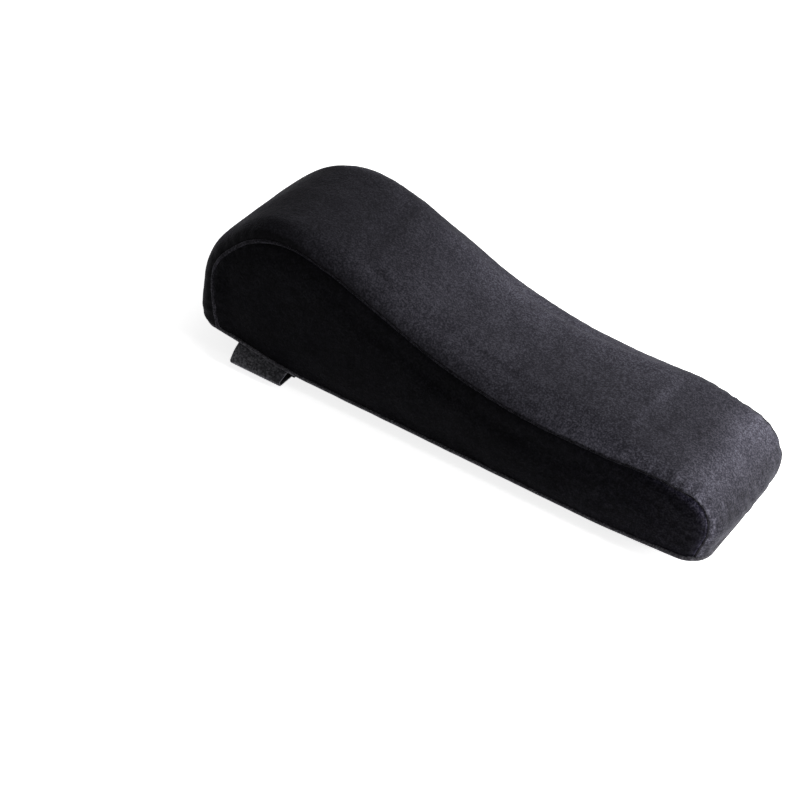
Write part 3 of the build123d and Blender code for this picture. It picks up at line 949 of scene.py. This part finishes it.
parts = []
for sgn in (1, -1):
    parts.append(thread_run(level_line(-SLIT_X - 1, SLIT_X + 1, sgn * (SLIT_Y + 1.7), 60)))
    for end in (-1, 1):
        middle_line = level_line(end * (SLIT_X + 2), end * (FOOT_X - 4), sgn * 1.6, 40)
        middle_line[:, 2] = BASE_Z + base_height(middle_line[:, 0])
        parts.append(thread_run(middle_line))
inset_loop = loop - out_dir * 2.6
inset_loop[:, 2] = BASE_Z + base_height(inset_loop[:, 0])
parts.append(thread_run(np.vstack([inset_loop, inset_loop[:1]]), 3.0, 2.2))
threads = joined("base_stitching", parts, M_THREAD)
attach(threads, "pad")

# -------- grip dots
parts = []
for sgn in (1, -1):
    for row, dy in enumerate(DOT_ROWS):
        count = 14 + row % 2
        for c in range(count):
            dot_x, dot_y = (c - (count - 1) / 2) * DOT_PITCH, sgn * dy
            verts = []
            for r, z in DOT_RINGS:
                for k in range(DOT_SIDES):
                    a = 2 * math.pi * k / DOT_SIDES
                    verts.append((dot_x + DOT_R * r * math.cos(a), dot_y + DOT_R * r * math.sin(a), BASE_Z + z))
            tip = len(verts)
            verts.append((dot_x, dot_y, BASE_Z - DOT_H))
            fcs = grid_faces(len(DOT_RINGS), DOT_SIDES, wrap_cols=True)
            last = tip - DOT_SIDES
            fcs += [(last + k, last + (k + 1) % DOT_SIDES, tip) for k in range(DOT_SIDES)]
            fcs.append(tuple(range(DOT_SIDES - 1, -1, -1)))
            parts.append((verts, fcs))
dots = joined("rubber_dots", parts, M_RUBBER)
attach(dots, "pad")
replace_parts(dots, "grip_dots")

# -------- zipper
for side_name, sgn in (("left", 1), ("right", -1)):
    gx, gy = np.meshgrid(np.linspace(-SLIT_X, SLIT_X, TAPE_ROWS), np.linspace(*TAPE_Y, TAPE_COLS), indexing="ij")
    tape_pts = np.column_stack([gx.ravel(), sgn * gy.ravel(), np.full(gx.size, BASE_Z + 1.25)])
    tape_pts[:, 2] += 0.05 * noise_at(tape_pts, 9.0, 81.0) + 0.10 * bell(np.abs(tape_pts[:, 1]) - 2.6, 0.5)
    tape = make_mesh("tape_" + side_name, tape_pts, grid_faces(TAPE_ROWS, TAPE_COLS), M_TAPE)
    thicken(tape, TAPE_THICK, sgn)
    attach(tape, "pad")
    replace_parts(tape, side_name + "_zipper_tape")
    winds = (COIL_X[1] - COIL_X[0]) / COIL_PITCH
    t = np.linspace(0, winds, int(winds * 12)) * 2 * math.pi + (0 if sgn > 0 else math.pi)
    path = np.column_stack([np.linspace(COIL_X[0], COIL_X[1], len(t)), sgn * (1.42 - 1.08 * np.cos(t)),
                            BASE_Z + 0.42 + 0.58 * np.sin(t)])
    verts, fcs = sweep(path, oval(COIL_R, COIL_R, 6), np.tile((1.0, 0, 0), (len(t), 1)))
    coil = make_mesh("coil_" + side_name, verts, fcs, M_COIL)
    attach(coil, "pad")
    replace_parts(coil, side_name + "_zipper_coil")
for node in ("zipper_slider", "zipper_pull", "zipper_top_stops", "zipper_bottom_stop"):
    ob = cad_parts[node]
    ob.data.materials.clear()
    ob.data.materials.append(M_METAL)
    bev = ob.modifiers.new("edges", "BEVEL")
    bev.width = 0.18 * MM
    bev.segments = 3
    bev.limit_method = "ANGLE"


# -------- straps
def ribbon(name, paths, px, thick, front, back, rib=0.0, pile=0.0):
    """A woven tape. paths[j] is its (y, z) line at px[j]. front faces the line's left, and ribs run lengthwise."""
    rows, cols = len(paths[0]), len(px)
    sheets = []
    for flip in (1, -1):
        grid = np.zeros((rows, cols, 3))
        for j in range(cols):
            p = paths[j]
            t = np.gradient(p, axis=0)
            t /= np.linalg.norm(t, axis=1)[:, None]
            n = np.column_stack([-t[:, 1], t[:, 0]])
            from_edge = min(j, cols - 1 - j)
            ribbing = 0.0 if from_edge < 3 else rib * math.cos(2 * math.pi * (px[j] - px[0]) / 1.3)
            q = p + n * flip * (thick / 2 + ribbing - (0.12 if from_edge == 0 else 0))
            grid[:, j] = np.column_stack([np.full(rows, px[j]), q[:, 0], q[:, 1]])
        if pile:
            grid[..., 2] += pile * noise_at(grid.reshape(-1, 3), 0.9, 91.0).reshape(rows, cols)
        sheets.append(grid)
    size = rows * cols
    verts = np.vstack([g.reshape(-1, 3) for g in sheets])
    front_faces = grid_faces(rows, cols)
    back_faces = [tuple(i + size for i in f[::-1]) for f in front_faces]
    ring = [i * cols for i in range(rows)] + [(rows - 1) * cols + j for j in range(1, cols)]
    ring += [i * cols + cols - 1 for i in range(rows - 2, -1, -1)] + list(range(cols - 2, 0, -1))
    rim = [(a, b, b + size, a + size) for a, b in zip(ring, ring[1:] + ring[:1])]
    ob = make_mesh(name, verts, front_faces + back_faces + rim, front)
    ob.data.materials.append(back)
    ob.data.polygons.foreach_set("material_index", [0] * len(front_faces) + [1] * (len(back_faces) + len(rim)))
    b = bmesh.new()
    b.from_mesh(ob.data)
    bmesh.ops.recalc_face_normals(b, faces=b.faces)
    b.to_mesh(ob.data)
    b.free()
    return ob


def fold_path(px, end, side, axis_z, bend, tip):
    """A strap half's (y, z) line at px: from the base's edge, out and down round the fold, then in to its tip."""
    fold = FOLD_Y[end]
    top = BASE_Z + float(base_height(px)) + (0.9 if end == "rear" else 0.1)
    low = axis_z - bend
    pts = [(fold - SEAM_GAP[end], top), (fold - SEAM_GAP[end] * 0.45, axis_z + (top - axis_z) * 0.62),
           (fold - 0.35, axis_z + 0.9), (fold, axis_z), (fold - bend * 0.29, axis_z - bend * 0.71),
           (fold - bend, low), (fold - bend - 3, low), (fold - bend - 9, low), (tip, low)]
    line = smooth_curve(pts, 400)
    d = lengths(line)
    turn = d[np.argmin(np.hypot(line[:, 0] - (fold - bend - 2), line[:, 1] - low))]
    at = np.r_[np.linspace(0, turn, 34), np.linspace(turn, d[-1], 30)[1:]]
    out = along(line, at)
    return np.column_stack([side * out[:, 0], out[:, 1]])


def hook_plate(centre, mid_y, half_y):
    """The flat backing of a hook patch, with rounded corners."""
    verts = []
    for z in (1.0, 1.35):
        for cx, cy in ((1, 1), (-1, 1), (-1, -1), (1, -1)):
            for k in range(PLATE_STEPS):
                a = math.atan2(cy, cx) - math.pi / 4 + math.pi / 8 * k
                verts.append((centre + cx * (PLATE_HALF_X - PLATE_R) + PLATE_R * math.cos(a),
                              mid_y + cy * (half_y - PLATE_R) + PLATE_R * math.sin(a), z))
    n = 4 * PLATE_STEPS
    return verts, grid_faces(2, n, wrap_cols=True) + [tuple(range(n - 1, -1, -1)), tuple(range(n, 2 * n))]


def hook(x, y, way):
    """One hook: a stalk that leans over to the side given by way, 1 or -1."""
    verts = []
    for z, dx, r in HOOK_RINGS:
        lean = dx * way
        verts += [(x + lean + r, y, z), (x + lean, y + r, z), (x + lean - r, y, z), (x + lean, y - r, z)]
    return verts, grid_faces(4, 4, wrap_cols=True) + [(3, 2, 1, 0), (12, 13, 14, 15)]


across_strap = np.linspace(-STRAP_W / 2, STRAP_W / 2, 81)
for end, centre, side in (("rear", -STRAP_X, 1), ("front", STRAP_X, -1)):
    fold = FOLD_Y[end]
    cols = centre + across_strap
    cut = [fold_path(c, end, side, ELASTIC_FOLD_Z, 3.0, -(fold - TAIL_SHORT)) for c in cols]
    elastic = ribbon(end + "_elastic", cut, cols, STRAP_THICK["elastic"], M_ELASTIC, M_ELASTIC, 0.07)
    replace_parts(elastic, end + "_elastic_sewn_end", end + "_elastic_strap")
    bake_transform(elastic)
    cut = [fold_path(c, end, -side, LOOP_FOLD_Z, 1.6, 2.0) for c in cols]
    mats = (M_LOOP_BACK, M_LOOP) if side > 0 else (M_LOOP, M_LOOP_BACK)
    loop_half = ribbon(end + "_loop", cut, cols, STRAP_THICK["loop"], mats[0], mats[1], 0.05, 0.05)
    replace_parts(loop_half, end + "_loop_sewn_end", end + "_loop_tape")
    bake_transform(loop_half)

    lo_y, hi_y = sorted((-side * 3.0, -side * (fold - 13.0)))
    parts = [hook_plate(centre, (lo_y + hi_y) / 2, (hi_y - lo_y) / 2)]
    for i, hook_x in enumerate(np.arange(centre - 11.4, centre + 11.5, HOOK_PITCH)):
        for hook_y in np.arange(lo_y + 1.0 + 0.6 * (i % 2), hi_y - 0.9, HOOK_PITCH):
            parts.append(hook(hook_x, hook_y, 1 if i % 2 else -1))
    hooks = joined(end + "_hooks", parts, M_HOOK)
    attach(hooks, end + "_elastic")
    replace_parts(hooks, end + "_hook_patch")
    x0, x1, y0, y1 = centre - 11.6, centre + 11.6, lo_y + 0.9, hi_y - 0.9
    box = [(x0, y0, 0.2), (x1, y0, 0.2), (x1, y1, 0.2), (x0, y1, 0.2), (x0, y0, 0.2)]
    box_stitch = joined(end + "_hook_stitching", [thread_run(box, 2.2, 1.6, 0.12)], M_THREAD)
    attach(box_stitch, end + "_elastic")


# -------- camera, floor and lights
cam_data = bpy.data.cameras.new("camera")
cam = bpy.data.objects.new("camera", cam_data)
bpy.context.scene.collection.objects.link(cam)
cam_data.sensor_width = 36.0
cam_data.lens = 100.9
cam_data.clip_start, cam_data.clip_end = 0.01, 50
forward = Vector((-0.366, 0.695, -0.618)).normalized()
up = Vector((-0.403, 0.481, 0.779))
up = (up - forward * up.dot(forward)).normalized()
turned = Matrix((forward.cross(up), up, -forward)).transposed().to_4x4()
cam.matrix_world = Matrix.Translation((0.3235, -0.6904, 0.5960 + BASE_Z * MM)) @ turned
bpy.context.scene.camera = cam

floor = make_mesh("floor", [(x * FLOOR_HALF, y * FLOOR_HALF, 0) for x, y in ((-1, -1), (1, -1), (1, 1), (-1, 1))],
                  [(0, 1, 2, 3)])
paper, _, shader, _ = nodes_of("floor_paper")
shader.inputs["Base Color"].default_value = (0.9, 0.9, 0.9, 1)
shader.inputs["Roughness"].default_value = 0.9
shader.inputs["Specular IOR Level"].default_value = 0.0
shader.inputs["Emission Color"].default_value = (1, 1, 1, 1)
shader.inputs["Emission Strength"].default_value = 0.80
floor.data.materials.append(paper)


def area_light(name, place, aim, size, power):
    """A soft light at place, turned to face aim. Sizes are in metres and power in watts."""
    data = bpy.data.lights.new(name, "AREA")
    data.shape = "RECTANGLE"
    data.size, data.size_y = size
    data.energy = power
    ob = bpy.data.objects.new(name, data)
    bpy.context.scene.collection.objects.link(ob)
    ob.location = place
    ob.rotation_euler = (Vector(aim) - Vector(place)).to_track_quat("-Z", "Y").to_euler()


area_light("key_softbox", (0.95, 0.10, 0.40), (0.05, 0, 0.04), (0.5, 0.45), 13)
area_light("rim_softbox", (0.34, 0.24, 0.24), (0.10, 0, 0.04), (0.16, 0.16), 2.0)
area_light("top_softbox", (0.3, 0.3, 1.5), (0, 0, 0), (1.2, 1.0), 5)
world = bpy.data.worlds.new("world")
bpy.context.scene.world = world
world.use_nodes = True
sky = world.node_tree.nodes["Background"]
sky.inputs["Color"].default_value = (1, 1, 1, 1)
sky.inputs["Strength"].default_value = 0.16
bpy.context.scene.view_settings.view_transform = "Standard"
